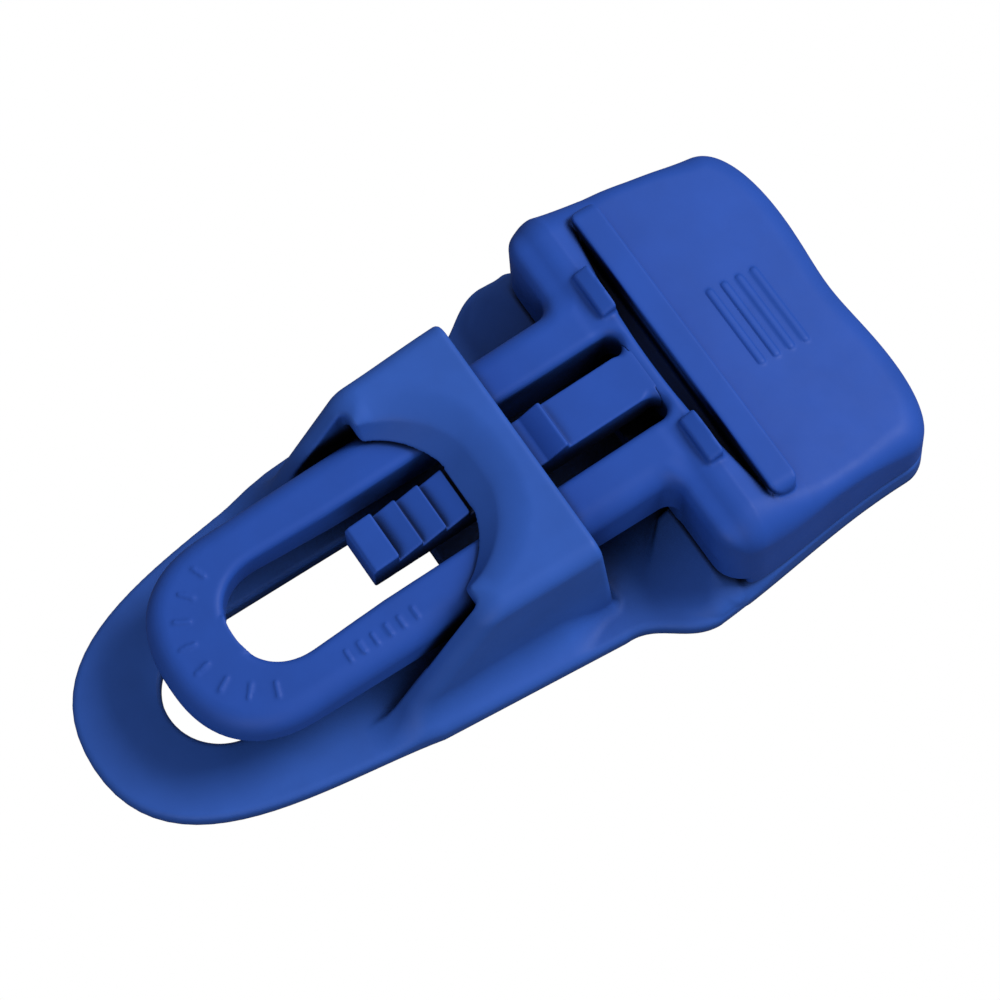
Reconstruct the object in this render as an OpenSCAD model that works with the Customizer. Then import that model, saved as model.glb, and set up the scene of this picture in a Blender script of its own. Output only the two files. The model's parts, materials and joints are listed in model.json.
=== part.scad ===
// Tarp clip: a lower moulding (rope plate, lower jaw and bridge) and a draw
// moulding (upper jaw, rope loop and ratchet tongue) that slides through the bridge.
// The tail points along -Y, the jaws along +Y, and the clip lies on Z = 0.

/* [Overall] */
// Length from the tail tip to the front of the jaws
clip_len = 110.4; // [106:0.2:114]
// Angle at which the draw moulding climbs towards the jaws
rail_tilt = 3.4; // [2.6:0.2:4.2]
// Height of the rails' top face over the base, half way along
rail_h = 17.6; // [17:0.05:18.5]

/* [Rope plate] */
// Thickness of the plate
plate_t = 2.8; // [2.4:0.1:3.4]
// Width of the plate beside the bridge
flange_w = 45.8; // [44:0.2:48]
// Plate left behind the rope hole at the tail
hole_rim = 11.1; // [9:0.1:13]
// Length of the rope hole
hole_len = 38.7; // [35:0.1:41]
// Width of the rope hole
hole_w = 15.2; // [13:0.2:17]
// Radius of the rope hole's front corners
hole_corner_r = 3; // [2:0.1:5]

/* [Bridge] */
// Length of the roof from back to front
bridge_len = 15.7; // [15:0.1:17]
// Distance of the roof's front edge ahead of the middle
bridge_front = 8.2; // [7.6:0.1:8.8]
// Thickness of the side walls
bridge_wall = 2.8; // [2.2:0.1:3.2]
// Thickness of the roof
roof_t = 4.1; // [3.4:0.1:4.8]
// Gap between the rails and the roof
roof_gap = 0.4; // [0.3:0.05:0.6]
// Gap between the rails and each side wall
side_gap = 1.4; // [1:0.1:1.8]
// Run of the side walls' slope behind the roof, at their foot
gusset_run = 17.8; // [15:0.1:19]
// Radius with which that slope runs out into the plate
gusset_r = 6.4; // [3:0.1:8]
// Distance behind the roof at which the plate is nearly as wide as beside the bridge
shoulder_run = 9.7; // [8:0.1:11]
// Radius of the hollow between wall and plate
foot_r = 5; // [3:0.1:5.6]
// Radius along the roof's upper edges
roof_r = 2; // [1.2:0.1:2.4]
// Width of the arched cut in the roof
arch_w = 25.4; // [23:0.2:27]
// Depth of the arched cut in the roof
arch_depth = 11.8; // [11:0.1:12.4]
// Slope of the arch's edge: how far its foot lies behind its top, at the middle
lip_run = 5; // [4:0.1:5.4]
// Width of the catch in the middle of the arch
catch_w = 6.4; // [5.6:0.1:6.8]
// How far the catch stands back from the foot of the arch's edge
catch_reach = 0.3; // [0.1:0.05:0.6]
// Height of the catch's face
catch_t = 1.2; // [0.8:0.1:1.6]
// Gap between the catch and the teeth that pass under it
catch_gap = 0.15; // [0.1:0.05:0.25]

/* [Rope loop] */
// Width over the two rails
rail_w = 27.2; // [26.4:0.2:28]
// Width of the slot between the rails, where the tongue lies
slot_w = 13.2; // [12.6:0.1:13.6]
// Width of the rope eye at the tail
eye_w = 16; // [15:0.1:17]
// Distance of the loop's end ahead of the tail tip
loop_setback = 12.2; // [11:0.1:13.6]
// Width of the loop's end web
web_w = 10; // [8.6:0.1:11]
// Thickness of the loop at the tail
loop_t = 4.4; // [3.8:0.1:5]
// Height of the rails' lower face at the jaw
rail_foot_h = 10; // [9.4:0.1:10.6]

/* [Ratchet tongue] */
// Width of the tongue
tongue_w = 6.8; // [6.2:0.1:7.2]
// Thickness of the tongue under its teeth
tongue_t = 3.2; // [2.8:0.1:3.6]
// Length of the stop tooth at the tongue's end
stop_len = 3.8; // [3.2:0.1:4.4]
// How far the stop tooth stands over the others
stop_rise = 0.5; // [0.4:0.05:0.7]
// Distance between teeth
tooth_pitch = 3.4; // [3.2:0.1:3.6]
// Height of the teeth
tooth_h = 1.1; // [0.8:0.05:1.3]
// Number of teeth, with the stop tooth
tooth_count = 4; // [3:1:4]
// Play between the catch and the tooth that it holds
tooth_play = 0.3; // [0.2:0.05:0.5]
// Distance of the release wedge's crest ahead of the bridge
wedge_ahead = 4.8; // [4.4:0.1:5.6]
// Height of the release wedge
wedge_h = 1.6; // [1.2:0.1:2]
// Length of the release wedge at its foot
wedge_run = 3; // [2.6:0.1:3.4]
// Length of the release wedge's flat top
wedge_land = 1; // [0.6:0.1:1.4]
// Angle that the tongue can be pressed down
press_angle = 4; // [3:0.5:5]

/* [Upper jaw] */
// Length of the jaw
head_len = 33.8; // [32.6:0.2:35]
// Width at the back of the jaw
head_back_w = 52.8; // [51:0.2:54]
// Width at the front of the jaw
head_front_w = 49; // [47:0.2:50.4]
// Wall thickness of the jaw
head_wall = 2.8; // [2.4:0.1:3.2]
// Distance of the tongue's root ahead of the jaw's back face
root_ahead = 4.6; // [4.2:0.1:4.9]
// Height of the jaw's ceiling inside
ceiling_h = 12; // [11:0.1:12.6]
// Height of the deck near the front lip
lip_h = 11.8; // [11.2:0.1:12.4]
// Height of the deck in front of the cross rib
deck_h = 15.8; // [15.2:0.1:16.4]
// Distance of the cross rib's front face ahead of the jaw's back face
rib_ahead = 12.5; // [12:0.1:13]
// Slope of the cross rib's top: fall from its back edge to its front edge
rib_fall = 1.9; // [1.2:0.1:2.4]
// Distance of the cross hollow's straight front wall ahead of the jaw's back face
trench_ahead = 8.6; // [8.4:0.1:9]
// Length of the cross hollow
trench_w = 39.6; // [36:0.2:42]
// Width of the cross hollow at its middle
trench_t = 2.6; // [2.2:0.1:2.8]
// Width of the cross hollow at its ends
trench_end = 0.4; // [0.2:0.1:1]
// Depth of the cross hollow
trench_depth = 4.6; // [3.6:0.1:5]
// Length of each stop pad
pad_len = 7.2; // [6:0.1:8]
// Distance between the middles of the stop pads
pad_span = 23.4; // [22:0.2:24.4]
// Height of the stop pads
pad_h = 1.7; // [1.2:0.1:2]
// Radius of the front corners
front_corner_r = 6.4; // [5.6:0.2:7.6]
// Radius of the back corners
back_corner_r = 2.6; // [2:0.1:3.2]
// Radius along the jaw's upper edges
edge_r = 3.4; // [2.6:0.1:4]
// Radius along the side edges of the deck behind the cross rib
back_edge_r = 4.8; // [4:0.1:5.6]
// Depth of the dip in the middle of the front edge
front_dip = 1.2; // [0.8:0.1:1.6]

/* [Lower jaw] */
// Width where the lower jaw flares
flare_w = 54.8; // [54:0.2:56]
// Height of the lower jaw's rim
rim_h = 4; // [3.8:0.1:4.2]
// Width of the rim
rim_w = 3; // [2.6:0.1:3.4]
// Gap between the closed jaws
jaw_gap = 0.3; // [0.25:0.05:0.4]
// Height of the ramp behind the lower jaw
ramp_h = 5.4; // [5:0.1:5.6]
// Length of the ramp's hollowed slope
ramp_run = 7.6; // [7:0.1:8]
// Distance between grip ridges
ridge_pitch = 5.2; // [4.8:0.1:5.4]
// Number of grip ridges on each jaw
ridge_count = 4; // [3:1:4]
// Height of the lower grip ridges' tips
ridge_h = 4.7; // [4.5:0.1:4.9]
// Width of a grip ridge at its foot
ridge_foot = 2.4; // [2:0.1:2.8]
// Width of a grip ridge at its tip
ridge_tip = 0.6; // [0.4:0.1:0.8]

/* [Hidden] */
$fn = 64;
// How far a cutting shape runs past what it cuts
over = plate_t;
wide = 2 * flare_w;
high = rail_h + roof_gap + roof_t + 2 * over;

tail_y = -clip_len / 2;
front_y = clip_len / 2;
head_y = front_y - head_len;
roof_back = bridge_front - bridge_len;
gusset_foot = roof_back - gusset_run;
shoulder_y = roof_back - shoulder_run;
tunnel_half = rail_w / 2 + side_gap;
bridge_half = tunnel_half + bridge_wall;
ramp_y = head_y - ramp_run;
jaw_root = ramp_y;
flare_y = head_y - root_ahead / 2;
loop_y = tail_y + loop_setback;
root_y = head_y + root_ahead;
rib_y = head_y + rib_ahead;
trench_y = head_y + trench_ahead;
lip_y = roof_back + arch_depth - lip_run;
catch_y = lip_y - catch_reach;
wedge_y = bridge_front + wedge_ahead;
mouth_h = rim_h + jaw_gap;
back_wall_h = ramp_h + 2 * jaw_gap;
first_ridge = head_y + head_wall + ridge_pitch;

// Height of the rails' top face at a place along the clip
function rail_z(y) = rail_h + y * tan(rail_tilt);
// Height of the rails' lower face
function rail_foot_z(y) =
    let (at_tail = rail_z(loop_y) - loop_t)
    at_tail + (rail_foot_h - at_tail) * (y - loop_y) / (head_y - loop_y);
// Front face of a ratchet tooth, counted from the catch to the tail
function tooth_y(i) = catch_y - tooth_play - i * tooth_pitch;
tongue_end = tooth_y(tooth_count - 1) - stop_len;

// Points of an arc, from one angle to another
function arc(cx, cy, r, from, to, n = 10) =
    [for (i = [0:n]) let (a = from + (to - from) * i / n) [cx + r * cos(a), cy + r * sin(a)]];
// Points of a cubic curve from a to d, without d itself
function curve(a, b, c, d, n = 10) =
    [for (i = [0:n - 1]) let (t = i / n, u = 1 - t)
        u * u * u * a + 3 * u * u * t * b + 3 * u * t * t * c + t * t * t * d];
// The point that lies at shares of the way from a to b
function between(a, b, shares) =
    [a[0] + (b[0] - a[0]) * shares[0], a[1] + (b[1] - a[1]) * shares[1]];
// A right half outline with its mirror image
function both_sides(half) =
    concat(half, [for (i = [len(half) - 1:-1:0]) [-half[i][0], half[i][1]]]);

// Extrudes a side profile, drawn as [y, z], across the clip
module across(width) {
    rotate([90, 0, 90]) linear_extrude(width, center = true) children();
}
// Extrudes a front profile, drawn as [x, z], along the clip
module along(from, to) {
    translate([0, to, 0]) rotate([90, 0, 0]) linear_extrude(to - from) children();
}
// A frame whose XY plane is the rails' top face
module on_rails() {
    translate([0, 0, rail_h]) rotate([rail_tilt, 0, 0]) children();
}

// Outline of the lower moulding, as shares of the way along each curve
tail_shares = [[0.909, 0], [0.852, 0.632]];
tail_full_share = 0.913;
flare_shares = [[0.15, 0.44], [0.95, 0.57]];
side_shares = [[0.3, 0.4], [1, 0.63]];
corner_shares = [[0, 0.6], [0.33, 1]];
lobe_shares = [[0.4, 0], [0.7, 1]];

function tail_half() =
    let (w = flange_w / 2, tip = [0, tail_y], full = [w * tail_full_share, shoulder_y])
    concat(curve(tip, between(tip, full, tail_shares[0]), between(tip, full, tail_shares[1]),
                 full, 14),
           [full]);
function flare_half() =
    let (a = [flange_w / 2, bridge_front], b = [flare_w / 2, flare_y])
    curve(a, between(a, b, flare_shares[0]), between(a, b, flare_shares[1]), b);
// The front that both jaws share, from a point on the side to the middle of the lip
function front_half(side) =
    let (a = [head_front_w / 2, front_y - front_corner_r], b = [head_front_w / 4, front_y],
         c = [0, front_y - front_dip])
    concat(curve(side, between(side, a, side_shares[0]), between(side, a, side_shares[1]), a, 8),
           curve(a, between(a, b, corner_shares[0]), between(a, b, corner_shares[1]), b, 12),
           curve(b, between(b, c, lobe_shares[0]), between(b, c, lobe_shares[1]), c, 6));
function lower_half() = concat(tail_half(), flare_half(), front_half([flare_w / 2, flare_y]));

module lower_outline() polygon(both_sides(lower_half()));

module rope_plate() {
    color("royalblue")
    difference() {
        intersection() {
            linear_extrude(plate_t) lower_outline();
            translate([-wide / 2, tail_y - over, -over])
                cube([wide, jaw_root - tail_y + over, high]);
        }
        rope_hole();
    }
}

module rope_hole() {
    back = tail_y + hole_rim;
    r = hole_w / 2;
    c = hole_corner_r;
    deep = plate_t + 2 * over;
    translate([0, back + r, -over]) cylinder(r = r, h = deep);
    translate([-r, back + r, -over]) cube([hole_w, hole_len - r - c, deep]);
    translate([c - r, back + r, -over]) cube([hole_w - 2 * c, hole_len - r, deep]);
    for (side = [-1, 1])
        translate([side * (r - c), back + hole_len - c, -over]) cylinder(r = c, h = deep);
}

module lower_jaw() {
    color("royalblue")
    intersection() {
        linear_extrude(high) lower_outline();
        union() {
            translate([-wide / 2, jaw_root, 0]) cube([wide, front_y - jaw_root, plate_t]);
            jaw_rim();
            jaw_ramp();
            for (i = [0:ridge_count - 1]) lower_ridge(first_ridge + i * ridge_pitch);
        }
    }
}

module jaw_rim() {
    y = head_y + head_wall;
    difference() {
        translate([-wide / 2, y, 0]) cube([wide, front_y - y, rim_h]);
        translate([0, 0, plate_t]) linear_extrude(rim_h) polygon(both_sides(inner_half(rim_w)));
    }
}

// The jaws' inner edge: straight sides and one curve round each front corner
function inner_half(wall) =
    let (b = [head_back_w / 2 - wall, head_y], f = [head_front_w / 2 - wall, front_y - front_corner_r],
         c = [head_front_w / 2 - front_corner_r, front_y - front_dip - wall])
    concat([b], curve(f, between(f, c, corner_shares[0]), between(f, c, corner_shares[1]), c), [c]);

// A hollowed slope up to the back of the lower jaw, open in the middle under the rails
module jaw_ramp() {
    rise = ramp_h - plate_t;
    r = (ramp_run * ramp_run + rise * rise) / (2 * rise);
    end_y = head_y + head_wall - jaw_gap;
    difference() {
        across(wide)
            polygon(concat([[ramp_y, 0]], arc(ramp_y, plate_t + r, r, -90, asin(ramp_run / r) - 90),
                           [[end_y, ramp_h], [end_y, 0]]));
        translate([0, 0, plate_t]) linear_extrude(high)
            polygon(both_sides([[bridge_half + ramp_run / 2, ramp_y - over],
                                [tunnel_half - bridge_wall, head_y - side_gap],
                                [tunnel_half - bridge_wall, head_y + side_gap]]));
    }
}

module lower_ridge(y) {
    foot = ridge_foot / 2;
    tip = ridge_tip / 2;
    across(head_front_w - 2 * rim_w - 2 * head_wall)
        polygon([[y - foot, 0], [y + foot, 0], [y + foot, plate_t], [y + tip, ridge_h],
                 [y - tip, ridge_h], [y - foot, plate_t]]);
}

module bridge() {
    color("royalblue") {
        difference() {
            intersection() {
                union() {
                    on_rails() along(gusset_foot - over, bridge_front + over) roof_section();
                    along(gusset_foot, bridge_front) foot_section();
                }
                across(wide) bridge_side();
                linear_extrude(high) lower_outline();
            }
            on_rails() along(gusset_foot - 2 * over, bridge_front + 2 * over) tunnel_section();
            on_rails() translate([-tunnel_half, gusset_foot - over, -high])
                cube([2 * tunnel_half, gusset_run + over, 2 * high]);
            on_rails() arch_cut();
        }
        on_rails() catch();
    }
}

// Outer shape of the walls and the roof, with rounded upper edges
module roof_section() {
    top = roof_gap + roof_t;
    polygon(both_sides(concat([[bridge_half, -high]],
                              arc(bridge_half - roof_r, top - roof_r, roof_r, 0, 90))));
}

// The hollowed feet where the walls run out into the plate
module foot_section() {
    polygon(both_sides(concat([[bridge_half + foot_r, 0]],
                              arc(bridge_half + foot_r, plate_t + foot_r, foot_r, -90, -180),
                              [[tunnel_half, plate_t + foot_r], [tunnel_half, 0]])));
}

module tunnel_section() {
    r = roof_r / 2;
    polygon(both_sides(concat([[tunnel_half, -high]],
                              arc(tunnel_half - r, roof_gap - r, r, 0, 90, 6))));
}

// Side view: upright front, roof along the rails, and walls that slope down to the tail
// and run out into the plate in a hollow curve
module bridge_side() {
    lift = (roof_gap + roof_t) / cos(rail_tilt);
    top = rail_z(roof_back) + lift;
    rise = top - plate_t - gusset_r;
    slope = atan(rise / gusset_run) + asin(gusset_r / norm([gusset_run, rise]));
    polygon(concat(arc(gusset_foot, plate_t + gusset_r, gusset_r, -90, slope - 90),
                   [[roof_back, top], [roof_back + over / tan(slope), top + over],
                    [bridge_front, rail_z(bridge_front) + lift + over], [bridge_front, plate_t]]));
}

// An oval cut that leans back as it goes down, open to the tail
module arch_cut() {
    lean = atan(lip_run / roof_t);
    translate([0, roof_back, roof_gap + roof_t]) rotate([-lean, 0, 0])
        linear_extrude(2 * arch_depth + 2 * over, center = true)
            polygon(arc_of(arch_w / 2, arch_depth * cos(lean)));
}
function arc_of(a, b, n = 40) =
    [for (i = [0:n - 1]) [a * cos(i * 360 / n), b * sin(i * 360 / n)]];

// The tooth that holds the ratchet, carried by the middle of the arch's edge
module catch() {
    deep = catch_y + catch_reach + lip_run;
    across(catch_w)
        polygon([[catch_y, catch_gap], [catch_y, catch_gap + catch_t],
                 [lip_y + lip_run / 2, roof_gap + roof_t / 2],
                 [deep, roof_gap + roof_t / 2], [deep, catch_gap]]);
}

module rope_loop() {
    color("dodgerblue")
    intersection() {
        linear_extrude(high) difference() {
            loop_outline();
            slot_outline();
        }
        across(wide) rail_side();
        translate([-wide / 2, tail_y, 0]) cube([wide, head_y - tail_y, high]);
    }
}

module loop_outline() {
    r = rail_w / 2;
    translate([0, loop_y + r]) circle(r = r);
    translate([-r, loop_y + r]) square([rail_w, head_y + over - loop_y - r]);
}

// The slot widens to the rope eye at the tail
module slot_outline() {
    r = eye_w / 2;
    eye_y = loop_y + web_w + r;
    translate([0, eye_y]) circle(r = r);
    polygon(both_sides([[r, eye_y], [slot_w / 2, eye_y + eye_w], [slot_w / 2, head_y + 2 * over]]));
}

// The rails are wedges: thin at the tail and thick at the jaw
module rail_side() {
    from = loop_y - over;
    to = head_y + over;
    polygon([[from, rail_foot_z(from)], [to, rail_foot_z(to)], [to, rail_z(to)],
             [from, rail_z(from)]]);
}

module ratchet_tongue() {
    color("deepskyblue")
    across(tongue_w) tongue_side();
}

function tongue_foot_z(y) = rail_z(y) - tooth_h - tongue_t;

// Side view from the root to the tail: release wedge, ratchet teeth and stop tooth
module tongue_side() {
    relief = (tooth_h + tongue_t) * tan(press_angle) + jaw_gap / 2;
    last = tooth_y(tooth_count - 1);
    valley = tooth_y(0) + tooth_pitch;
    polygon(concat(
        [[root_y - relief, tongue_foot_z(root_y)], [root_y, rail_z(root_y)],
         [wedge_y + tooth_play, rail_z(wedge_y)], [wedge_y, rail_z(wedge_y) + wedge_h],
         [wedge_y - wedge_land, rail_z(wedge_y) + wedge_h],
         [wedge_y - wedge_run, rail_z(wedge_y - wedge_run)], [valley, rail_z(valley)]],
        [for (i = [0:tooth_count - 2], up = [0, 1])
            [tooth_y(i), rail_z(tooth_y(i)) - tooth_h * (1 - up)]],
        [[last, rail_z(last) - tooth_h], [last, rail_z(last) + stop_rise],
         [tongue_end + stop_rise, rail_z(last)], [tongue_end, rail_z(last) - stop_rise],
         [tongue_end, tongue_foot_z(tongue_end)]]));
}

module upper_jaw() {
    color("royalblue")
    difference() {
        union() {
            intersection() {
                linear_extrude(high) head_outline();
                union() {
                    back_block();
                    front_block();
                }
            }
            for (side = [-1, 1]) stop_pad(side * pad_span / 2);
        }
        cross_hollow();
        tongue_slot();
        mouth();
    }
    color("royalblue")
    for (i = [0:ridge_count - 1]) upper_ridge(first_ridge + (i + 1 / 2) * ridge_pitch);
}

function head_half() =
    let (w = head_back_w / 2, r = back_corner_r)
    concat([[0, head_y]], arc(w - r, head_y + r, r, -90, 0, 6), front_half([w, head_y + r]));
module head_outline() polygon(both_sides(head_half()));

// The back of the jaw, whose deck runs on from the rails to the cross rib
module back_block() {
    intersection() {
        across(wide)
            polygon([[head_y, mouth_h], [rib_y, mouth_h], [rib_y, rail_z(rib_y) - rib_fall],
                     [trench_y, rail_z(trench_y)], [head_y, rail_z(head_y)]]);
        on_rails() along(head_y - over, front_y) deck_section(head_back_w / 2, back_edge_r);
    }
}

// The front of the jaw, whose deck falls to the lip
module front_block() {
    fall = atan((deck_h - lip_h) / (front_y - edge_r - rib_y));
    intersection() {
        across(wide)
            polygon(concat([[trench_y, mouth_h], [front_y, mouth_h]],
                           arc(front_y - edge_r, lip_h - edge_r, edge_r, 0, 90 - fall),
                           [[rib_y, deck_h], [trench_y, deck_h]]));
        translate([0, rib_y, deck_h]) rotate([-fall, 0, 0])
            along(-head_len, head_len) deck_section(head_back_w / 2 - rim_w / 2, edge_r);
    }
}

// Front view of a deck with rounded side edges
module deck_section(half, r) {
    polygon(both_sides(concat([[half, -high]], arc(half - r, -r, r, 0, 90))));
}

module stop_pad(x) {
    back = root_y - pad_h / 2;
    depth = trench_y - trench_t - back;
    translate([x, back + depth / 2, rail_z(back) - pad_h])
        intersection() {
            translate([-pad_len / 2, -depth / 2, 0]) cube([pad_len, depth, 2 * pad_h]);
            rotate([90, 0, 0])
                cylinder(r = 2 * pad_len, h = 2 * depth, center = true);
        }
}

// A hollow behind the cross rib, with a straight front wall and a back wall bowed to the tail
module cross_hollow() {
    half = trench_w / 2;
    bow = trench_t - trench_end;
    r = (half * half + bow * bow) / (2 * bow);
    sweep = asin(half / r);
    translate([0, trench_y, rail_z(trench_y) - trench_depth])
        linear_extrude(high)
            polygon(concat([[half, 0], [-half, 0]],
                           arc(0, r - trench_t, r, 270 - sweep, 270 + sweep, 20)));
}

module tongue_slot() {
    r = (slot_w - tongue_w) / 4;
    difference() {
        translate([-slot_w / 2, head_y - over, ceiling_h - over])
            cube([slot_w, root_ahead + over, high]);
        for (side = [-1, 1], end = [-1, 1])
            slot_corner(side * (tongue_w / 2 + r) + end * r, end, r);
    }
}

// Rounds the front end of a slot
module slot_corner(x, end, r) {
    translate([x, root_y, 0])
        difference() {
            translate([end > 0 ? -r : 0, -r, 0]) cube([r, r + over, high]);
            translate([-end * r, -r, -over]) cylinder(r = r, h = high + 2 * over);
        }
}

module mouth() {
    back = head_y + head_wall;
    lip = front_y - front_dip - head_wall;
    intersection() {
        linear_extrude(high) polygon(both_sides(inner_half(head_wall)));
        across(wide)
            polygon([[back, 0], [lip, 0], [lip, lip_h - head_wall - edge_r / 2],
                     [rib_y, ceiling_h], [back, ceiling_h]]);
    }
    translate([-wide / 2, head_y - over, 0]) cube([wide, head_wall + over, back_wall_h]);
}

module upper_ridge(y) {
    foot = ridge_foot / 2;
    tip = ridge_tip / 2;
    low = ridge_h + jaw_gap;
    reach = ceiling_h - (ceiling_h - lip_h + head_wall + edge_r / 2)
        * max(0, (y - foot - rib_y) / (front_y - rib_y));
    across(head_front_w - 2 * rim_w - 2 * head_wall)
        polygon([[y - tip, low], [y + tip, low], [y + foot, reach], [y - foot, reach]]);
}

rope_plate();
lower_jaw();
bridge();
upper_jaw();
rope_loop();
ratchet_tongue();
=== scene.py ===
import json
import math
from functools import reduce

import bpy
import numpy as np
import openvdb
from mathutils import Matrix, Vector


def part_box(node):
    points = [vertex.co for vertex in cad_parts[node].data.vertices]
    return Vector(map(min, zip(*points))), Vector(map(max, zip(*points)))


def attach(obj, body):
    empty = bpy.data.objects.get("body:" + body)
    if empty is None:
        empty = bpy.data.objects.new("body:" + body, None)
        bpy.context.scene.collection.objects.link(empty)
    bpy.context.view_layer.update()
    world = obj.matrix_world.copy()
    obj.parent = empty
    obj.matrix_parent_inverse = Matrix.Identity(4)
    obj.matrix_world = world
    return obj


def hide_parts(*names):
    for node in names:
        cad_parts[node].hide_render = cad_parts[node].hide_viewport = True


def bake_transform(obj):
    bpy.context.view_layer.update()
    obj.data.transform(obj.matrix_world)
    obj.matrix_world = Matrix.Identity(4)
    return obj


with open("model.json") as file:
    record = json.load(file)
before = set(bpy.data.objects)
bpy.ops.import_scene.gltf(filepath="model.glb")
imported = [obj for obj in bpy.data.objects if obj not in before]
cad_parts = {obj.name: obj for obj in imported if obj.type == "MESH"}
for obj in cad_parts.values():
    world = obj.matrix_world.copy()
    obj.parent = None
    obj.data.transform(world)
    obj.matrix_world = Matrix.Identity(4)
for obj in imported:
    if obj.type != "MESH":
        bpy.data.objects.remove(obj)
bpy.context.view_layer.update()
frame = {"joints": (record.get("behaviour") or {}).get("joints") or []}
mm = 0.001


def nodeBox(name):
    low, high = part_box(name)
    return low / mm, high / mm


plateLow, plateHigh = nodeBox("rope_plate")
jawHigh = nodeBox("lower_jaw")[1]
bridgeLow, bridgeHigh = nodeBox("bridge")
headLow, headHigh = nodeBox("upper_jaw")
loopLow, loopHigh = nodeBox("rope_loop")
tongueLow, tongueHigh = nodeBox("ratchet_tongue")
slide = next(joint for joint in frame["joints"] if joint["name"] == "jaw_slide")
railTilt = math.atan2(slide["axis"][2], slide["axis"][1])
railHeight = loopHigh.z - headLow.y * math.tan(railTilt)

# what the two mouldings share, in millimetres
overall = {
    "tailY": plateLow.y, "frontY": jawHigh.y, "headY": headLow.y, "plateT": plateHigh.z,
    "flareHalf": jawHigh.x, "flareY": headLow.y - 2.3, "flangeHalf": 22.9,
    "shoulderShare": 0.913, "shoulderRun": 9.7,
    "frontHalf": 24.5, "frontCorner": 6.0, "frontDip": 0.8,
    "bridgeFront": bridgeHigh.y, "roofBack": bridgeHigh.y - 15.7, "gussetFoot": bridgeLow.y,
    "rimHeight": 4.0, "jawGap": 0.3, "wall": 2.8,
    "innerZ": 1.0,  # inside the plate, where forms that stand on it begin
    "step": 0.25, "margin": 1.0, "thinning": 0.0,  # for the meshes
}


def railZ(y):
    return railHeight + y * math.tan(railTilt)


def towards(a, b, share):
    return a + (b - a) * share


def between(a, b, shareX, shareY):
    return (towards(a[0], b[0], shareX), towards(a[1], b[1], shareY))


def arc(cx, cy, r, start, end, steps=16):
    turns = [math.radians(start + (end - start) * i / steps) for i in range(steps + 1)]
    return [(cx + r * math.cos(t), cy + r * math.sin(t)) for t in turns]


def curve(a, b, c, d, steps=24):
    # cubic from a to d, without d itself
    points = []
    for i in range(steps):
        t = i / steps
        u = 1 - t
        weights = (u ** 3, 3 * u * u * t, 3 * u * t * t, t ** 3)
        points.append(tuple(sum(w * p[k] for w, p in zip(weights, (a, b, c, d))) for k in (0, 1)))
    return points


def mirrored(half):
    return half + [(-x, y) for x, y in reversed(half)]


class Lattice:
    # sample points round one piece, in millimetres
    def __init__(self, low, high, step):
        margin = overall["margin"]
        self.low, self.step = np.array(low) - margin, step
        axes = []
        for a, b in zip(self.low, np.array(high) + margin):
            count = int(math.ceil((b - a) / step)) + 1
            axes.append(np.float32(a) + np.float32(step) * np.arange(count, dtype=np.float32))
        self.x, self.y, self.z = np.meshgrid(*axes, indexing="ij", sparse=True)
        self.side = np.abs(self.x)
        # the frame of the rails' top face
        c, s = math.cos(railTilt), math.sin(railTilt)
        self.railY = self.y * c + (self.z - railHeight) * s
        self.railZ = (self.z - railHeight) * c - self.y * s


def outlineField(points, u, v):
    # signed distance to a closed outline, negative inside
    best, inside = None, None
    for (ax, ay), (bx, by) in zip(points, points[1:] + points[:1]):
        ex, ey = bx - ax, by - ay
        if ex == 0 and ey == 0:
            continue
        t = np.clip(((u - ax) * ex + (v - ay) * ey) / (ex * ex + ey * ey), 0, 1)
        distance = np.hypot(u - ax - t * ex, v - ay - t * ey)
        best = distance if best is None else np.minimum(best, distance)
        if ey != 0:
            crossed = ((ay > v) != (by > v)) & (u < ex * (v - ay) / ey + ax)
            inside = crossed if inside is None else inside ^ crossed
    return np.where(inside, -best, best).astype(np.float32)


# join, common and cut leave a round of radius r along the new edge
def join(a, b, r=0.0):
    if np.isscalar(r) and r == 0:
        return np.minimum(a, b)
    return np.maximum(r, np.minimum(a, b)) - np.hypot(np.maximum(r - a, 0), np.maximum(r - b, 0))


def common(a, b, r=0.0):
    if np.isscalar(r) and r == 0:
        return np.maximum(a, b)
    return np.minimum(-r, np.maximum(a, b)) + np.hypot(np.maximum(r + a, 0), np.maximum(r + b, 0))


def cut(a, b, r=0.0):
    return common(a, -b, r)


def easing(v, start, end):
    t = np.clip((v - start) / (end - start), 0, 1)
    return t * t * (3 - 2 * t)


def skin(name, field, lattice):
    # turns a field into a smooth mesh object
    volume = openvdb.FloatGrid(1.0)
    volume.copyFromArray(np.ascontiguousarray(field, dtype=np.float32))
    points, triangles, quads = volume.convertToPolygons(isovalue=0.0, adaptivity=overall["thinning"])
    points = (points * lattice.step + lattice.low) * mm
    faces = [tuple(f) for f in quads.tolist()] + [tuple(f) for f in triangles.tolist()]
    mesh = bpy.data.meshes.new(name)
    mesh.from_pydata(points.tolist(), [], faces)
    mesh.update()
    piece = bpy.data.objects.new(name, mesh)
    bpy.context.scene.collection.objects.link(piece)
    if signedVolume(mesh) < 0:
        mesh.flip_normals()
    mesh.polygons.foreach_set("use_smooth", [True] * len(mesh.polygons))
    print(f"{name}: {len(mesh.polygons)} faces")
    return piece


def signedVolume(mesh):
    mesh.calc_loop_triangles()
    co = np.zeros(len(mesh.vertices) * 3, np.float32)
    mesh.vertices.foreach_get("co", co)
    corners = np.zeros(len(mesh.loop_triangles) * 3, np.int32)
    mesh.loop_triangles.foreach_get("vertices", corners)
    p = co.reshape(-1, 3)[corners.reshape(-1, 3)]
    return float(np.einsum("ij,ij->i", p[:, 0], np.cross(p[:, 1], p[:, 2])).sum())


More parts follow.
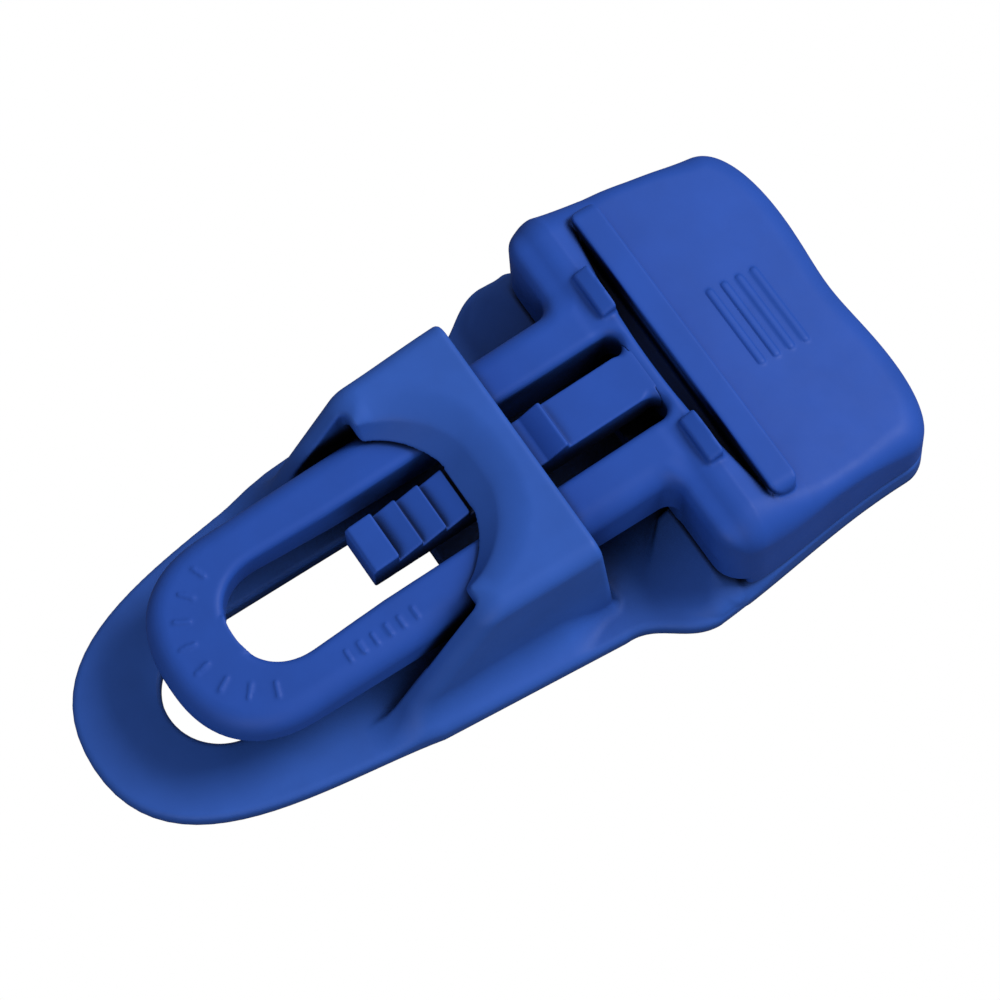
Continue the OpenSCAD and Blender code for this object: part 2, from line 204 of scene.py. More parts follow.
# outlines of the two mouldings, seen from above; the shares place the handles of each curve
def frontStretch(side, corner):
    o = overall
    a = (o["frontHalf"], o["frontY"] - corner)
    b = (o["frontHalf"] / 2, o["frontY"])
    c = (0, o["frontY"] - o["frontDip"])
    return (curve(side, between(side, a, 0.3, 0.4), between(side, a, 1, 0.63), a)
            + curve(a, between(a, b, 0, 0.6), between(a, b, 0.33, 1), b)
            + curve(b, between(b, c, 0.4, 0), between(b, c, 0.7, 1), c) + [c])


def lowerOutline():
    o = overall
    tip = (0, o["tailY"])
    full = (o["flangeHalf"] * o["shoulderShare"], o["roofBack"] - o["shoulderRun"])
    a, b = (o["flangeHalf"], o["bridgeFront"]), (o["flareHalf"], o["flareY"])
    half = curve(tip, between(tip, full, 0.909, 0), between(tip, full, 0.852, 0.632), full)
    half += [full] + curve(a, between(a, b, -0.08, 0.42), between(a, b, 0.95, 0.57), b)
    return mirrored(half + frontStretch(b, o["frontCorner"]))


lower = {
    # rope plate
    "plateEdge": 0.9, "holeHalf": 7.6, "holeBack": 11.1, "holeLength": 38.7, "holeCorner": 3.0,
    "holeEdge": 0.7,
    # bridge
    "bridgeHalf": 18.1, "bridgeFlare": 0.4, "roofGap": 0.4, "roofT": 4.1, "roofEdge": 2.3,
    "frontEdge": 0.8, "frontLean": 0.07, "leanBelow": 1.0, "slopeEdge": 2.0, "gussetR": 6.4,
    "foot": 5.0, "footFront": 1.6, "footFade": 7.0, "frontFoot": 1.4,
    "tunnelHalf": 15.0, "tunnelTop": 1.0, "tunnelFoot": 0.8, "tunnelEdge": 0.5,
    # the arch in the roof and the catch below it
    "archHalf": 12.7, "archDepth": 11.8, "archDrop": 6.0, "lipRun": 5.0, "archRun": 0.5,
    "archEdge": 0.35, "archTopEdge": 2.4, "archSoftUp": 0.8, "archSoftFrom": 0.5, "archSoftTo": 3.0,
    "catchHalf": 3.2, "catchReach": 0.3, "catchGap": 0.15, "catchT": 1.2, "catchEdge": 0.25,
    # the jaw's tray with its rim, and the ramp behind it
    "rimWidth": 3.0, "rimBlend": 0.5, "rimEdge": 0.4, "trayEdge": 0.5, "jawEdge": 0.8,
    "jawUnderEdge": 0.5, "rampRun": 7.6, "rampHeight": 5.4, "rampEdge": 2.6, "rampFade": 6.0,
    "rampInset": 1.5, "rampGain": 0.3, "rampBend": 2.0, "rampCrest": 1.0,
    "gapRun": 4.0, "gapFlare": 3.8, "gapCorner": 1.4, "gapFoot": 0.6, "gapEdge": 0.5,
    # grip ridges of both jaws
    "ridgeAhead": 8.0, "ridgePitch": 5.2, "ridgeCount": 4, "ridgeHeight": 4.7,
    "ridgeFoot": 1.2, "ridgeTip": 0.3, "ridgeHalf": 18.7, "ridgeEdge": 0.2,
}
lower["catchY"] = overall["roofBack"] + lower["archDepth"] - lower["lipRun"] - lower["catchReach"]


def plateField(at, outline):
    t = overall["plateT"]
    return common(outline, np.abs(at.z - t / 2) - t / 2, lower["plateEdge"])


def plateHole(at):
    s = lower
    r, c = s["holeHalf"], s["holeCorner"]
    back = overall["tailY"] + s["holeBack"]
    front = back + s["holeLength"]
    half = arc(0, back + r, r, 270, 360) + arc(r - c, front - c, c, 0, 90)
    return outlineField(mirrored(half), at.x, at.y)


def gussetField(at):
    # side view of the walls behind the roof: a slope that runs out into the plate in a hollow curve
    o, s = overall, lower
    foot, base, r, back = o["gussetFoot"], o["plateT"], s["gussetR"], o["roofBack"]
    top = railZ(back) + (s["roofGap"] + s["roofT"]) / math.cos(railTilt)
    run, rise = back - foot, top - base - r
    slope = math.atan(rise / run) + math.asin(r / math.hypot(run, rise))
    far = 12.0
    profile = [(o["tailY"] - far, base)]
    profile += arc(foot, base + r, r, -90, math.degrees(slope) - 90)
    profile += [(back + far / math.tan(slope), top + far), (o["bridgeFront"] + far, top + far),
                (o["bridgeFront"] + far, -far), (o["tailY"] - far, -far)]
    return outlineField(profile, at.y, at.z)


def archField(at):
    # an oval that leans back as it goes down, a little past the roof's two faces
    s = lower
    level = np.clip((at.railZ - s["roofGap"]) / s["roofT"], -0.3, 1.3)
    middle = overall["roofBack"] - (1 - level) * s["lipRun"]
    across, deep = s["archHalf"], s["archDepth"]
    # 0.8 and 0.63 bring both forms near to true distances
    oval = (np.hypot(at.x / across, (at.railY - middle) / deep) - 1) * deep * 0.8
    # the middle of its front is straight
    straight = (at.railY - s["catchY"] - level * s["lipRun"]) * 0.63
    return common(oval, straight, s["catchEdge"])


def catchField(at):
    # the straight lip below the arch's front edge
    s = lower
    back, gap, base = s["catchY"], s["catchGap"], s["roofGap"]
    rise = s["roofT"] / s["lipRun"]
    depth, top = s["catchT"], base + s["catchT"] / 2
    profile = [(back, gap), (back + depth, gap), (back + depth, top),
               (back + (top - base) / rise, top), (back, base)]
    lip = outlineField(profile, at.railY, at.railZ)
    return common(at.side - s["catchHalf"], lip, s["catchEdge"])


def bridgeField(at, outline):
    o, s = overall, lower
    front, back, top = o["bridgeFront"], o["roofBack"], s["roofGap"] + s["roofT"]
    foot = towards(s["foot"], s["footFront"], easing(at.y, front - s["footFade"], front))
    wider = s["bridgeFlare"] * easing(at.y, back, front)
    shell = join(at.side - s["bridgeHalf"] - wider, at.z - o["plateT"], foot)
    shell = common(shell, at.railZ - top, s["roofEdge"])
    shell = common(shell, gussetField(at), s["slopeEdge"])
    lean = s["frontLean"] * np.maximum(top - s["leanBelow"] - at.railZ, 0)
    face = join(at.y - front - lean, at.z - o["plateT"], s["frontFoot"])
    shell = common(shell, face, s["frontEdge"])
    shell = common(shell, outline, s["plateEdge"])
    # the tunnel for the rails, down to the plate, and open at the top behind the roof
    walls = at.side - s["tunnelHalf"]
    tunnel = common(walls, at.railZ - s["roofGap"], s["tunnelTop"])
    behind = common(walls, at.railY - back, s["tunnelFoot"])
    tunnel = common(np.minimum(tunnel, behind), o["plateT"] - at.z, s["tunnelFoot"])
    shell = cut(shell, tunnel, s["tunnelEdge"])
    # the dish is soft towards the roof, and its two rear ends are crisp
    soft = easing(at.railZ, s["roofGap"] + s["archSoftUp"], top)
    soft = soft * easing(at.railY, back - s["archSoftFrom"], back + s["archSoftTo"])
    edge = towards(s["archEdge"], s["archTopEdge"], soft)
    # the arch widens softly into the open space behind the roof
    arch = join(archField(at), behind, s["archRun"])
    arch = np.maximum(arch, s["roofGap"] - s["archDrop"] - at.railZ)
    shell = join(cut(shell, arch, edge), catchField(at))
    return np.maximum(shell, o["plateT"] / 2 - at.z)


def rampField(at, outline, start, end):
    # a hollowed ramp, and beside the jaw it is hardly higher than the rim
    o, s = overall, lower
    run, rise = s["rampRun"], s["rampHeight"] - o["plateT"]
    r = (run * run + rise * rise) / (2 * rise)
    sweep = math.degrees(math.asin(run / r))
    profile = [(start, o["innerZ"])]
    profile += arc(start, o["plateT"] + r, r, -90, sweep - 90)
    profile += [(end, s["rampHeight"]), (end, o["innerZ"])]
    inward = -outline - s["rampInset"]
    lift = s["rampGain"] * (inward + np.sqrt(inward * inward + s["rampBend"]))
    return common(outlineField(profile, at.y, at.z), at.z - o["rimHeight"] - lift, s["rampCrest"])


def ridgeField(at, shift, section):
    # straight ridges across a jaw, shifted by a part of their pitch
    s = lower
    rows = []
    for i in range(s["ridgeCount"]):
        y = overall["headY"] + s["ridgeAhead"] + (i + shift) * s["ridgePitch"]
        rows.append(outlineField([(y + along, z) for along, z in section], at.y, at.z))
    return common(at.side - s["ridgeHalf"], reduce(join, rows), s["ridgeEdge"])


def lowerJawField(at, outline):
    o, s = overall, lower
    headY, wallY, plateT = o["headY"], o["headY"] + o["wall"], o["plateT"]
    rampStart, rampEnd = headY - s["rampRun"], wallY - o["jawGap"]
    # the ramp and the jaw's rim share one outer form, so that no seam runs between them
    ramp = rampField(at, outline, rampStart, rampEnd)
    rim = common(at.z - o["rimHeight"], headY - at.y)
    edge = towards(s["rampEdge"], s["jawEdge"], easing(at.y, wallY, wallY + s["rampFade"]))
    jaw = common(outline, join(ramp, rim, s["rimBlend"]), edge)
    jaw = common(jaw, -at.z, s["jawUnderEdge"])
    tray = common(outline + s["rimWidth"], plateT - at.z, s["trayEdge"])
    jaw = cut(jaw, common(tray, rampEnd - at.y), s["rimEdge"])
    # the ramp is open in the middle under the rails
    corner, turn = s["tunnelHalf"] - o["wall"], s["gapCorner"]
    gap = mirrored([(s["bridgeHalf"] + s["gapFlare"], rampStart - s["gapRun"]),
                    (corner, headY - turn), (corner, headY + turn)])
    gap = common(outlineField(gap, at.x, at.y), plateT - at.z, s["gapFoot"])
    jaw = cut(jaw, gap, s["gapEdge"])
    low, high, foot, tip = o["innerZ"], s["ridgeHeight"], s["ridgeFoot"], s["ridgeTip"]
    section = [(-foot, low), (foot, low), (foot, plateT), (tip, high), (-tip, high), (-foot, plateT)]
    return join(jaw, ridgeField(at, 0, section))


def lowerMoulding():
    o = overall
    half = o["flareHalf"]
    at = Lattice((-half, o["tailY"], 0), (half, o["frontY"], bridgeHigh.z), o["step"])
    outline = outlineField(lowerOutline(), at.x, at.y)
    field = join(plateField(at, outline), bridgeField(at, outline))
    field = cut(join(field, lowerJawField(at, outline)), plateHole(at), lower["holeEdge"])
    piece = skin("lowerMoulding", field, at)
    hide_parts("rope_plate", "lower_jaw", "bridge")
    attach(piece, "lower_moulding")
    return piece


draw = {
    # rope loop, rails and the slot between them
    "loopHalf": loopHigh.x, "loopEnd": loopLow.y, "loopBlunt": 2.4, "loopInto": 4.0, "loopT": 4.4,
    "eyeHalf": 7.0, "eyeBlunt": 2.2, "web": 9.6,
    "railFoot": 10.0, "railEdge": 2.8, "underEdge": 0.6, "rootFillet": 2.0,
    "slotHalf": 6.6, "slotCorner": 1.5, "slotStart": 1.5, "slotEdge": 1.1, "slotFloor": 9.2,
    "rootY": tongueHigh.y,
    # head
    "headBackHalf": headHigh.x, "backCorner": 4.8, "frontCorner": 6.0, "backWall": 6.0, "lowZ": 4.0,
    "rearEdge": 4.8, "rearFade": 3.0, "sideEdge": 2.2, "sideFade": 4.0,
    "lipEdge": 3.4, "lipFade": (13.0, 5.0), "lipZ": 11.8,
    "shoulderBack": 3.0, "deckAhead": 0.6, "deckZ": 15.8,
    "ceiling": 12.0, "mouthCorner": 1.5, "mouthEdge": 0.4, "ridgeInset": 1.0,
    # rib, the hollow behind it and the two stops
    "ribHalf": 22.8, "ribBack": headLow.y + 8.6, "ribFront": headLow.y + 12.5, "ribFall": 0.1,
    "ribRoot": 13.0, "ribEdge": 0.4, "ribEndEdge": 1.6, "ribBlend": 0.15,
    "hollowHalf": 20.6, "hollowBow": 2.4, "hollowDepth": 3.6, "hollowFoot": 0.6, "hollowEdge": 0.5,
    "padX": 11.7, "padHalf": 3.4, "padLength": 2.2, "padAhead": 0.3, "padRise": 1.9, "padLean": 0.35,
    "padCrown": 0.03, "padRoot": 3.0, "padEdge": 0.45, "padEndEdge": 0.35, "padBlend": 0.5,
    # plain ticks on the web and one rail, and bars on the deck
    "markRoot": 1.0, "markBlend": 0.12, "tickHeight": 0.22, "tickHalf": 0.28, "tickEdge": 0.1,
    "webTickRadius": 9.6, "webTickHalf": 0.9, "webTickFan": 70, "webTickTurn": 20,
    "railTickX": 10.4, "railTickHalf": 0.7, "railTickAhead": 6.0, "railTickPitch": 1.9,
    "railTickCount": 6,
    "barHalf": 5.6, "barRadius": 0.5, "barHeight": 0.3, "barEdge": 0.2, "barAhead": 6.0,
    "barPitch": 2.2, "barCount": 4,
}


def headOutline():
    o, s = overall, draw
    w, r = s["headBackHalf"], s["backCorner"]
    half = [(0, o["headY"])] + arc(w - r, o["headY"] + r, r, -90, 0)
    return mirrored(half + frontStretch((w, o["headY"] + r), s["frontCorner"]))


def slotWideField(at):
    # the rope eye and the wide slot that holds the tongue
    s = draw
    r, w, c = s["eyeHalf"], s["slotHalf"], s["slotCorner"]
    eyeY = s["loopEnd"] + s["web"] + r
    power = 2 / s["eyeBlunt"]
    half = [(r * max(x, 0) ** power, eyeY - r * max(-y, 0) ** power) for x, y in arc(0, 0, 1, 270, 360)]
    half += [(w, eyeY + s["slotStart"] * r)]
    half += arc(w - c, s["rootY"] - c, c, 0, 90)
    return outlineField(mirrored(half), at.x, at.y)


def tongueFromAbove(at):
    # the tongue widens into the head at its root
    s = draw
    return join(at.side - tongueHigh.x, s["rootY"] - at.y, s["slotCorner"])


def footZ(y):
    # the rails' underside
    start = railZ(loopLow.y) - draw["loopT"]
    return start + (draw["railFoot"] - start) * (y - loopLow.y) / (overall["headY"] - loopLow.y)


def deckFall():
    # how steeply the deck falls towards the lip
    s = draw
    return (s["deckZ"] - s["lipZ"]) / (overall["frontY"] - s["lipEdge"] - s["ribFront"])


def drawBodyField(at):
    o, s = overall, draw
    start, end, headY = o["tailY"], o["frontY"], o["headY"]
    beyond, high = end + 6, 40  # clear of the piece
    # the loop's end is a little blunter than a half circle
    r, blunt = s["loopHalf"], s["loopBlunt"]
    ahead = np.maximum(s["loopEnd"] + r - at.y, 0)
    loop = (at.side ** blunt + ahead ** blunt) ** (1 / blunt) - r
    loop = common(loop, at.y - headY - s["loopInto"])
    head = outlineField(headOutline(), at.x, at.y)
    plan = join(loop, head, s["rootFillet"])
    # the top: rails and rear deck in one plane, then the wedge down to the front lip
    shoulder, deck = s["ribBack"] - s["shoulderBack"], s["ribFront"] + s["deckAhead"]
    top = [(start, 0), (start, railZ(start)), (shoulder, railZ(shoulder)), (deck, s["deckZ"]),
           (beyond, s["deckZ"] - deckFall() * (beyond - deck)), (beyond, 0)]
    # its edge changes from the rails over the rear deck and the sides to the lip
    lipFrom, lipTo = s["lipFade"]
    edge = towards(s["railEdge"], s["rearEdge"], easing(at.y, headY, headY + s["rearFade"]))
    edge = edge + (s["sideEdge"] - s["rearEdge"]) * easing(at.y, shoulder, deck + s["sideFade"])
    edge = edge + (s["lipEdge"] - s["sideEdge"]) * easing(at.y, end - lipFrom, end - lipTo)
    body = common(plan, outlineField(top, at.y, at.z), edge)
    mouth, wallY = o["rimHeight"] + o["jawGap"], headY + o["wall"]
    under = [(start, footZ(start)), (headY, s["railFoot"]), (headY, s["backWall"]),
             (wallY, s["backWall"]), (wallY, mouth), (beyond, mouth), (beyond, high), (start, high)]
    body = common(body, outlineField(under, at.y, at.z), s["underEdge"])
    return join(body, ribField(at), s["ribBlend"]), head


def ribField(at):
    s = draw
    back, front, top, root = s["ribBack"], s["ribFront"], railZ(draw["ribBack"]), s["ribRoot"]
    profile = [(back, root), (back, top), (front, top - s["ribFall"]), (front, root)]
    rib = common(outlineField(profile, at.y, at.z), at.side - s["ribHalf"], s["ribEndEdge"])
    return common(rib, at.y - front, s["ribEdge"])


def hollowField(at):
    # the dark cross hollow, bowed towards the tail, in front of it the rib's straight face
    s = draw
    half, bow, back = s["hollowHalf"], s["hollowBow"], s["ribBack"] - s["hollowBow"]
    r = (half * half + bow * bow) / (2 * bow)
    area = common(np.hypot(at.x, at.y - back - r) - r, at.y - s["ribBack"])
    return common(area, railZ(back) - s["hollowDepth"] - at.z, s["hollowFoot"])


def padField(at):
    # two stops that climb from the deck to the hollow's edge
    s = draw
    front = s["ribBack"] - s["hollowBow"] + s["padAhead"]
    middle, half = (front - s["padLength"] + front) / 2, s["padLength"] / 2
    across = np.abs(at.side - s["padX"])
    height = at.railZ - s["padRise"] + s["padLean"] * (front - at.y) + s["padCrown"] * across * across
    pad = common(across - s["padHalf"], height, s["padEdge"])
    pad = common(pad, np.abs(at.y - middle) - half, s["padEndEdge"])
    return common(pad, -s["padRoot"] - at.railZ)


def tickField(at):
    s = draw
    cy = s["loopEnd"] + s["loopHalf"]
    ticks = []
    for turn in range(-s["webTickFan"], s["webTickFan"] + 1, s["webTickTurn"]):
        a = math.radians(turn - 90)
        u = at.x * math.cos(a) + (at.y - cy) * math.sin(a)
        v = (at.y - cy) * math.cos(a) - at.x * math.sin(a)
        outward = np.maximum(np.abs(u - s["webTickRadius"]) - s["webTickHalf"], 0)
        ticks.append(np.hypot(outward, v) - s["tickHalf"])
    across = np.maximum(np.abs(at.x - s["railTickX"]) - s["railTickHalf"], 0)
    for i in range(s["railTickCount"]):
        y = cy + s["railTickAhead"] + s["railTickPitch"] * i
        ticks.append(np.hypot(across, at.y - y) - s["tickHalf"])
    field = common(reduce(join, ticks), at.railZ - s["tickHeight"], s["tickEdge"])
    return common(field, -s["markRoot"] - at.railZ)


def gripBars(at):
    # where a thumb rests on the deck
    s = draw
    across = np.maximum(at.side - s["barHalf"], 0)
    bars = []
    for i in range(s["barCount"]):
        y = s["ribFront"] + s["barAhead"] + s["barPitch"] * i
        bars.append(np.hypot(across, at.y - y) - s["barRadius"])
    surface = (at.z - s["deckZ"]) + deckFall() * (at.y - s["ribFront"] - s["deckAhead"])
    field = common(reduce(join, bars), surface - s["barHeight"], s["barEdge"])
    return common(field, -s["markRoot"] - surface)


def mouthField(at, head):
    # the space between the jaws
    o, s = overall, draw
    lipY = o["frontY"] - o["frontDip"] - o["wall"]
    wallY, low = o["headY"] + o["wall"], -3
    profile = [(wallY, low), (lipY, low), (lipY, s["lipZ"] - o["wall"] - s["lipEdge"] / 2),
               (s["ribFront"], s["ceiling"]), (wallY, s["ceiling"])]
    return common(head + o["wall"], outlineField(profile, at.y, at.z), s["mouthCorner"])


def upperRidgeField(at, head):
    # they point down between the ridges of the lower jaw
    low, high = lower["ridgeHeight"] + overall["jawGap"], draw["ceiling"] - 1
    foot, tip = lower["ridgeFoot"], lower["ridgeTip"]
    section = [(-tip, low), (tip, low), (foot, high), (-foot, high)]
    return common(ridgeField(at, 0.5, section), head + draw["ridgeInset"])


def drawMoulding():
    o, s = overall, draw
    half = s["headBackHalf"]
    at = Lattice((-half, loopLow.y, s["lowZ"]), (half, o["frontY"], headHigh.z), o["step"])
    field, head = drawBodyField(at)
    field = cut(field, hollowField(at), s["hollowEdge"])
    field = join(field, padField(at), s["padBlend"])
    field = join(field, np.minimum(tickField(at), gripBars(at)), s["markBlend"])
    field = cut(field, mouthField(at, head), s["mouthEdge"])
    field = join(field, upperRidgeField(at, head))
    wide, tongue = slotWideField(at), tongueFromAbove(at)
    # under the head the slot stops above the back wall
    floor = np.where(at.y < o["headY"], np.float32(-100), s["slotFloor"] - at.z)
    field = cut(field, common(cut(wide, tongue), floor), s["slotEdge"])
    field = np.maximum(field, -common(common(wide, tongue), floor))
    piece = skin("drawMoulding", field, at)
    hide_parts("upper_jaw", "rope_loop")
    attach(piece, "draw_moulding")
    return piece


ratchet = {
    "toothPitch": 3.4, "toothHeight": 1.1, "toothCount": 4, "play": 0.3, "thickness": 3.2,
    "stopRise": 0.5, "wedgeAhead": 4.8, "wedgeHeight": 1.1, "wedgeRun": 3.0, "wedgeLand": 0.3,
    "edge": 0.25, "softFrom": 2.4, "softTo": 0.8,
    "overlap": 0.4, "overlapInset": 0.5, "overlapDrop": 0.02, "bendRun": 8.0, "step": 0.16,
}


def ratchetTongue():
    o, s = overall, ratchet
    first = lower["catchY"] - s["play"]
    teeth = [first - i * s["toothPitch"] for i in range(s["toothCount"])]
    rootY, end, wedge = draw["rootY"], tongueLow.y, o["bridgeFront"] + s["wedgeAhead"]

    def footOf(y):
        return railZ(y) - s["toothHeight"] - s["thickness"]

    valley, beyond = first + s["toothPitch"], rootY + o["margin"]
    profile = [(beyond, footOf(rootY)), (beyond, railZ(rootY)), (rootY, railZ(rootY)),
               (wedge + s["play"], railZ(wedge)),
               (wedge, railZ(wedge) + s["wedgeHeight"]),
               (wedge - s["wedgeLand"], railZ(wedge) + s["wedgeHeight"]),
               (wedge - s["wedgeRun"], railZ(wedge - s["wedgeRun"])),
               (valley, railZ(valley))]
    for y in teeth[:-1]:
        profile += [(y, railZ(y) - s["toothHeight"]), (y, railZ(y))]
    last, rise = teeth[-1], s["stopRise"]
    profile += [(last, railZ(last) - s["toothHeight"]), (last, railZ(last) + rise),
                (end + rise, railZ(last)), (end, railZ(last) - rise), (end, footOf(end))]
    half = tongueHigh.x + draw["slotCorner"]
    at = Lattice((-half, end, tongueLow.z), (half, rootY, tongueHigh.z), s["step"])
    side = outlineField(profile, at.y, at.z)
    # at its root the edges are as soft as those of the slots in the head
    soft = easing(at.y, rootY - s["softFrom"], rootY - s["softTo"])
    field = common(tongueFromAbove(at), side, towards(s["edge"], draw["slotEdge"], soft))
    # a little of it goes on just under the head's surface, so that no seam shows
    root = common(field, at.side - tongueHigh.x + s["overlapInset"])
    root = common(root, at.y - rootY - s["overlap"])
    field = np.minimum(common(field, at.y - rootY), root + s["overlapDrop"])
    piece = skin("ratchetTongue", field, at)
    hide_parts("ratchet_tongue")
    root = Vector((0, rootY, railZ(rootY))) * mm
    bent = Vector((0, rootY - s["bendRun"], railZ(rootY))) * mm
    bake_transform(piece)
    return piece


class Wire:
    # a socket that adds its own maths nodes
    def __init__(self, tree, socket):
        self.tree, self.socket = tree, socket

    def maths(self, operation, *values):
        node = self.tree.nodes.new("ShaderNodeMath")
        node.operation = operation
        for slot, value in zip(node.inputs, values):
            feed(self.tree, slot, value)
        return Wire(self.tree, node.outputs[0])

    def __add__(self, other):
        return self.maths("ADD", self, other)

    def __radd__(self, other):
        return self.maths("ADD", other, self)

    def __sub__(self, other):
        return self.maths("SUBTRACT", self, other)

    def __rsub__(self, other):
        return self.maths("SUBTRACT", other, self)

    def __mul__(self, other):
        return self.maths("MULTIPLY", self, other)

    def __rmul__(self, other):
        return self.maths("MULTIPLY", other, self)

    def clipped(self, low, high):
        return self.maths("MINIMUM", self.maths("MAXIMUM", self, low), high)


def feed(tree, slot, value):
    # a wire is linked, anything else is set as the slot's value
    if isinstance(value, Wire):
        tree.links.new(value.socket, slot)
    else:
        slot.default_value = value


class Shader:
    # one material's node tree
    def __init__(self, name):
        self.material = bpy.data.materials.new(name)
        self.material.use_nodes = True
        self.tree = self.material.node_tree
        self.tree.nodes.clear()

    def node(self, kind, settings=None, **sockets):
        node = self.tree.nodes.new("ShaderNode" + kind)
        for key, value in (settings or {}).items():
            setattr(node, key, value)
        for key, value in sockets.items():
            feed(self.tree, node.inputs[key.replace("_", " ")], value)
        return node

    def wire(self, node, output=0):
        return Wire(self.tree, node.outputs[output])


plastic = {
    "lowerColour": (0.025, 0.090, 0.40), "drawColour": (0.0165, 0.069, 0.360),
    "cloudSize": 9.0, "cloudShare": 0.16,
    # painted shade from ambient occlusion: a long reach darkens deep gaps, a short one darkens creases
    "creaseShadeReach": 20.0, "creaseShadeStart": 0.23, "creaseShadeGain": 3.0, "creaseShadeLeast": 0.02,
    "fineShadeReach": 2.0, "fineShadeStart": 0.42, "fineShadeGain": 2.1, "fineShadeLeast": 0.25, "samples": 8,
    "grainSize": 0.35, "grainHeight": 0.014, "grainStrength": 0.4,
    "roughness": 0.56, "wearSize": 2.4, "wearSpread": 0.20, "refraction": 1.49, "specular": 0.2,
}


def mouldedPlastic(name, colour):
    p = plastic
    s = Shader(name)
    place = s.wire(s.node("TexCoord"), 3)

    def noise(size, detail, roughness):
        scale = 1 / mm / size
        return s.wire(s.node("TexNoise", Vector=place, Scale=scale, Detail=detail, Roughness=roughness))

    # painted shade: ambient occlusion turned into a factor that darkens the colour
    def shade(reach, start, gain, least):
        node = s.node("AmbientOcclusion", {"samples": p["samples"]}, Distance=reach * mm)
        return ((s.wire(node, 1) - start) * gain).clipped(least, 1.0)

    clouds = noise(p["cloudSize"], 4.0, 0.55)
    grain = noise(p["grainSize"], 3.0, 0.6)
    wear = noise(p["wearSize"], 5.0, 0.7)
    cloudy = s.node("Mix", {"data_type": "RGBA", "blend_type": "MIX"})
    feed(s.tree, cloudy.inputs[0], clouds)
    feed(s.tree, cloudy.inputs[6], tuple(c * (1 - p["cloudShare"]) for c in colour) + (1,))
    feed(s.tree, cloudy.inputs[7], tuple(c * (1 + p["cloudShare"]) for c in colour) + (1,))
    # painted shade: ambient occlusion darkens creases and deep gaps, standing in for the shade that
    # falls in them
    light = (shade(p["creaseShadeReach"], p["creaseShadeStart"], p["creaseShadeGain"], p["creaseShadeLeast"])
             * shade(p["fineShadeReach"], p["fineShadeStart"], p["fineShadeGain"], p["fineShadeLeast"]))
    grey = s.node("CombineColor", Red=light, Green=light, Blue=light)
    # the painted shade multiplies the plastic's colour
    dark = s.node("Mix", {"data_type": "RGBA", "blend_type": "MULTIPLY"})
    feed(s.tree, dark.inputs[0], 1.0)
    feed(s.tree, dark.inputs[6], Wire(s.tree, cloudy.outputs[2]))
    feed(s.tree, dark.inputs[7], s.wire(grey))
    rough = p["roughness"] + (wear - 0.5) * p["wearSpread"]
    bump = s.node("Bump", Height=grain, Strength=p["grainStrength"], Distance=p["grainHeight"] * mm)
    surface = s.node("BsdfPrincipled", Base_Color=Wire(s.tree, dark.outputs[2]), Roughness=rough,
                     Normal=s.wire(bump), IOR=p["refraction"], Specular_IOR_Level=p["specular"])
    s.node("OutputMaterial", Surface=s.wire(surface))
    return s.material


studio = {
    "azimuth": 63.5, "elevation": 68.0, "roll": -7.0, "focalPixels": 4300.0, "pixelsPerMm": 7.985,
    "originPixel": (470.8, 538.0), "picture": 1000, "sensor": 36.0,
}


def addCamera():
    c = studio
    a, e, r = (math.radians(c[key]) for key in ("azimuth", "elevation", "roll"))
    back = Vector((math.sin(a) * math.cos(e), -math.cos(a) * math.cos(e), math.sin(e)))
    right = Vector((math.cos(a), math.sin(a), 0))
    up = back.cross(right)
    across = right * math.cos(r) + up * math.sin(r)
    above = up * math.cos(r) - right * math.sin(r)
    data = bpy.data.cameras.new("camera")
    camera = bpy.data.objects.new("camera", data)
    bpy.context.scene.collection.objects.link(camera)
    half = c["picture"] / 2
    data.sensor_width = c["sensor"]
    data.lens = c["focalPixels"] / c["picture"] * c["sensor"]
    # the view turns a little, so that the clip lies in the picture's middle
    x = (half - c["originPixel"][0]) / c["focalPixels"]
    y = (c["originPixel"][1] - half) / c["focalPixels"]
    straight = Matrix((across, above, back)).transposed()
    aim = straight @ Vector((x, y, -1)).normalized()
    turn = (-back).rotation_difference(aim)
    camera.matrix_world = (turn.to_matrix() @ straight).to_4x4()
    camera.location = back * (c["focalPixels"] / c["pixelsPerMm"] * mm)
    data.clip_start, data.clip_end = 0.01, 10
    bpy.context.scene.camera = camera


lights = {
    "key": {"from": (0.10, 0.50, 0.55), "size": 0.35, "power": 5.1},
    "fill": {"from": (0.5, -0.46, 0.36), "size": 0.35, "power": 1.6},
    "skyColour": (0.93, 0.96, 1, 1), "skyStrength": 0.33,
}


def addLights():
    for name in ("key", "fill"):
        light = lights[name]
        data = bpy.data.lights.new(name, "AREA")
        data.size, data.energy = light["size"], light["power"]
        lamp = bpy.data.objects.new(name, data)
        lamp.location = light["from"]
        lamp.rotation_mode = "QUATERNION"
        lamp.rotation_quaternion = (-Vector(light["from"])).to_track_quat("-Z", "Y")
        bpy.context.scene.collection.objects.link(lamp)


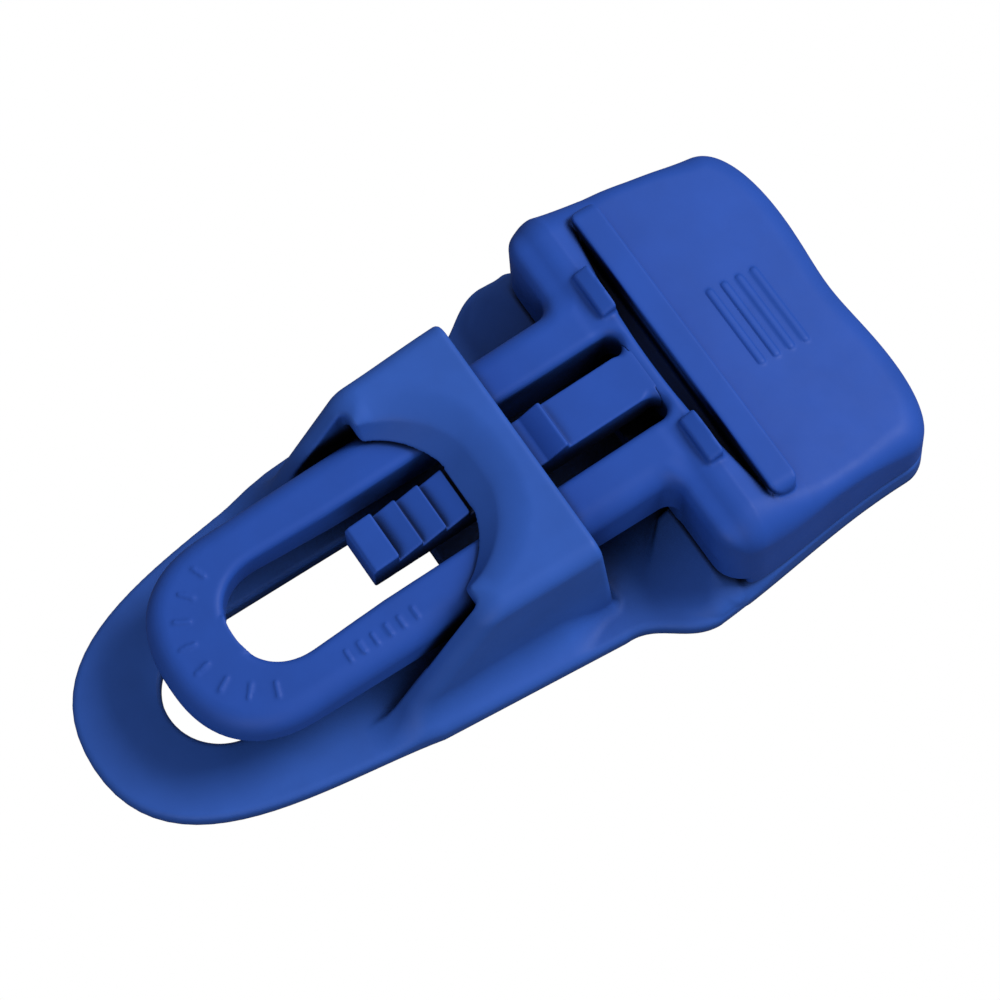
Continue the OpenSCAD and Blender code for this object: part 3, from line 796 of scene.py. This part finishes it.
def addWorld():
    # soft light on the part, and plain white for the camera
    world = bpy.data.worlds.new("studio")
    bpy.context.scene.world = world
    world.use_nodes = True
    tree = world.node_tree
    tree.nodes.clear()
    path = tree.nodes.new("ShaderNodeLightPath")
    soft, white = tree.nodes.new("ShaderNodeBackground"), tree.nodes.new("ShaderNodeBackground")
    soft.inputs[0].default_value = lights["skyColour"]
    soft.inputs[1].default_value = lights["skyStrength"]
    white.inputs[0].default_value = (1, 1, 1, 1)
    mix, out = tree.nodes.new("ShaderNodeMixShader"), tree.nodes.new("ShaderNodeOutputWorld")
    tree.links.new(path.outputs["Is Camera Ray"], mix.inputs[0])
    tree.links.new(soft.outputs[0], mix.inputs[1])
    tree.links.new(white.outputs[0], mix.inputs[2])
    tree.links.new(mix.outputs[0], out.inputs[0])


ground = {"half": 3.0, "drop": 0.02, "bounce": 0.12, "glow": 1.0}


def addFloor():
    # white for the camera, dull grey for the light that falls on it
    g = ground
    r = g["half"]
    mesh = bpy.data.meshes.new("floor")
    mesh.from_pydata([(-r, -r, 0), (r, -r, 0), (r, r, 0), (-r, r, 0)], [], [(0, 1, 2, 3)])
    floor = bpy.data.objects.new("floor", mesh)
    floor.location.z = -g["drop"] * mm
    bpy.context.scene.collection.objects.link(floor)
    s = Shader("paleFloor")
    diffuse = s.node("BsdfDiffuse", Color=(g["bounce"],) * 3 + (1,))
    glow = s.node("Emission", Color=(1, 1, 1, 1), Strength=g["glow"])
    mix = s.node("MixShader")
    feed(s.tree, mix.inputs[0], s.wire(s.node("LightPath"), "Is Camera Ray"))
    feed(s.tree, mix.inputs[1], s.wire(diffuse))
    feed(s.tree, mix.inputs[2], s.wire(glow))
    s.node("OutputMaterial", Surface=s.wire(mix))
    mesh.materials.append(s.material)


bpy.context.scene.view_settings.view_transform = "Standard"
addCamera()
addWorld()
addLights()
addFloor()
print("studio ready")
lowerPlastic = mouldedPlastic("lowerPlastic", plastic["lowerColour"])
drawPlastic = mouldedPlastic("drawPlastic", plastic["drawColour"])
lowerMoulding().data.materials.append(lowerPlastic)
drawMoulding().data.materials.append(drawPlastic)
ratchetTongue().data.materials.append(drawPlastic)
print("mouldings ready")
